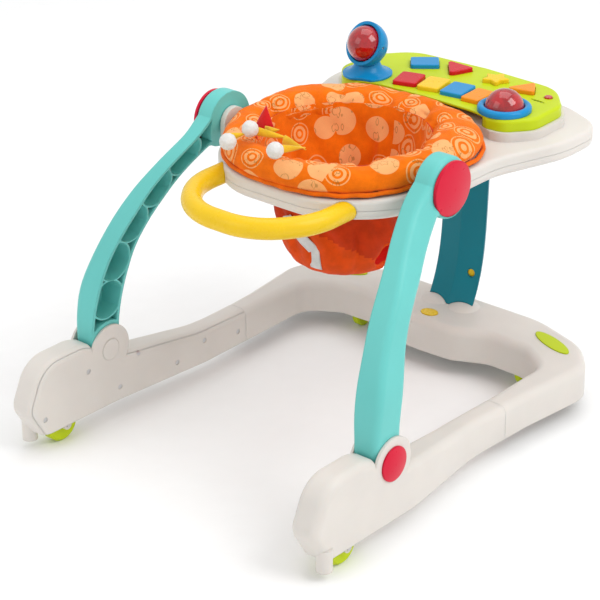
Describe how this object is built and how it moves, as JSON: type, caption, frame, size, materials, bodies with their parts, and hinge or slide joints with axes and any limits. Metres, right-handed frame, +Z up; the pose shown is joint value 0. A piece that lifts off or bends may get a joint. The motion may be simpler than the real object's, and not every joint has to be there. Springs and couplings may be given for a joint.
{
  "type": "baby walker",
  "caption": "Wheeled infant walker with a U-shaped base, curved legs, a tilting tray with a padded sling seat, a push handle and a press-key toy panel.",
  "frame": {"origin": "on the floor under the middle of the object", "axes": "+X towards the seated child's right, +Y the direction of travel (toy panel in front), +Z up"},
  "size_m": [0.5642, 0.7386, 0.5099],
  "materials": {
    "base_white": "satin moulded",
    "teal": "satin moulded",
    "deep_teal": "satin moulded",
    "crimson": "gloss moulded",
    "lime": "satin moulded",
    "yellow": "gloss moulded",
    "white_plastic": "moulded",
    "red": "gloss moulded",
    "clear_red": "tinted gloss",
    "blue": "gloss moulded",
    "orange": "gloss moulded",
    "led": "gloss moulded",
    "steel": "zinc plated",
    "cell": "sleeved cell",
    "board": "solder mask",
    "speaker": "matte",
    "cushion": "printed woven cloth",
    "sling": "woven cloth",
    "webbing": "woven webbing",
    "pompom": "wool pile",
    "felt": "felt"
  },
  "bodies": {
    "base": {"base_front_bar": "base_white", "arm_shell_left": "base_white", "arm_shell_right": "base_white", "arm_cover_left": "base_white", "arm_cover_right": "base_white", "arm_screws": "steel", "lower_pivot_pins": "steel", "lower_pivot_cap_left": "crimson", "lower_pivot_cap_right": "crimson", "corner_pad_left": "lime", "corner_pad_right": "lime", "oval_badge": "yellow", "rear_leg_left": "teal", "rear_leg_right": "teal", "tray_pivot_pins": "steel", "pivot_disc_left": "crimson", "pivot_disc_right": "crimson", "rear_axles": "steel"},
    "tray": {"tray_bottom": "base_white", "tray_top": "base_white", "handle": "yellow", "battery_door": "base_white", "batteries": "cell", "toy_panel": "lime", "dome_ring": "blue", "ball_stand": "blue", "ball_cup": "blue", "ball_axle": "steel", "circuit_board": "board", "speaker": "speaker", "cushion": "cushion", "seat_sling": "sling", "seat_strap": "webbing", "pompoms": "pompom", "felt_points": "felt", "front_leg": "deep_teal"},
    "rear_wheel_left": {"rear_wheel_left": "lime"},
    "caster_left": {"caster_fork_left": "white_plastic"},
    "caster_roller_left": {"caster_wheel_left": "lime"},
    "rear_wheel_right": {"rear_wheel_right": "lime"},
    "caster_right": {"caster_fork_right": "white_plastic"},
    "caster_roller_right": {"caster_wheel_right": "lime"},
    "ball": {"ball": "clear_red"},
    "release_button": {"release_button": "yellow"},
    "key_red": {"key_red": "red"},
    "key_yellow": {"key_yellow": "yellow"},
    "key_blue": {"key_blue": "blue"},
    "key_orange": {"key_orange": "orange"},
    "button_square": {"button_square": "blue"},
    "button_triangle": {"button_triangle": "red"},
    "button_star": {"button_star": "yellow"},
    "button_arrow": {"button_arrow": "orange"},
    "power_button": {"power_button": "led"},
    "dome": {"dome": "clear_red"}
  },
  "joints": [
    {"name": "tray_tilt", "type": "hinge", "parent": "base", "child": "tray", "pos_m": [0, -0.009, 0.414], "axis": [1, 0, 0], "range_deg": [0, 60]},
    {"name": "rear_wheel_spin_left", "type": "hinge", "parent": "base", "child": "rear_wheel_left", "pos_m": [-0.255, -0.298, 0.027], "axis": [1, 0, 0], "continuous": true},
    {"name": "caster_swivel_left", "type": "hinge", "parent": "base", "child": "caster_left", "pos_m": [-0.154, 0.272, 0.04], "axis": [0, 0, 1], "continuous": true},
    {"name": "caster_roll_left", "type": "hinge", "parent": "caster_left", "child": "caster_roller_left", "pos_m": [-0.154, 0.26, 0.019], "axis": [1, 0, 0], "continuous": true},
    {"name": "rear_wheel_spin_right", "type": "hinge", "parent": "base", "child": "rear_wheel_right", "pos_m": [0.255, -0.298, 0.027], "axis": [1, 0, 0], "continuous": true},
    {"name": "caster_swivel_right", "type": "hinge", "parent": "base", "child": "caster_right", "pos_m": [0.154, 0.272, 0.04], "axis": [0, 0, 1], "continuous": true},
    {"name": "caster_roll_right", "type": "hinge", "parent": "caster_right", "child": "caster_roller_right", "pos_m": [0.154, 0.26, 0.019], "axis": [1, 0, 0], "continuous": true},
    {"name": "ball_spin", "type": "hinge", "parent": "tray", "child": "ball", "pos_m": [-0.118, 0.218, 0.479], "axis": [1, 0, 0], "continuous": true},
    {"name": "release_press", "type": "slide", "parent": "tray", "child": "release_button", "axis": [-0.1724, 0.985, 0], "range_m": [0, 0.002], "stiffness_N_per_m": 400},
    {"name": "press_key_red", "type": "slide", "parent": "tray", "child": "key_red", "axis": [0, 0, -1], "range_m": [0, 0.003], "stiffness_N_per_m": 500},
    {"name": "press_key_yellow", "type": "slide", "parent": "tray", "child": "key_yellow", "axis": [0, 0, -1], "range_m": [0, 0.003], "stiffness_N_per_m": 500},
    {"name": "press_key_blue", "type": "slide", "parent": "tray", "child": "key_blue", "axis": [0, 0, -1], "range_m": [0, 0.003], "stiffness_N_per_m": 500},
    {"name": "press_key_orange", "type": "slide", "parent": "tray", "child": "key_orange", "axis": [0, 0, -1], "range_m": [0, 0.003], "stiffness_N_per_m": 500},
    {"name": "press_button_square", "type": "slide", "parent": "tray", "child": "button_square", "axis": [0, 0, -1], "range_m": [0, 0.003], "stiffness_N_per_m": 500},
    {"name": "press_button_triangle", "type": "slide", "parent": "tray", "child": "button_triangle", "axis": [0, 0, -1], "range_m": [0, 0.003], "stiffness_N_per_m": 500},
    {"name": "press_button_star", "type": "slide", "parent": "tray", "child": "button_star", "axis": [0, 0, -1], "range_m": [0, 0.003], "stiffness_N_per_m": 500},
    {"name": "press_button_arrow", "type": "slide", "parent": "tray", "child": "button_arrow", "axis": [0, 0, -1], "range_m": [0, 0.003], "stiffness_N_per_m": 500},
    {"name": "press_power_button", "type": "slide", "parent": "tray", "child": "power_button", "axis": [0, 0, -1], "range_m": [0, 0.002], "stiffness_N_per_m": 500},
    {"name": "press_dome", "type": "slide", "parent": "tray", "child": "dome", "axis": [0, 0, -1], "range_m": [0, 0.003], "stiffness_N_per_m": 500}
  ]
}
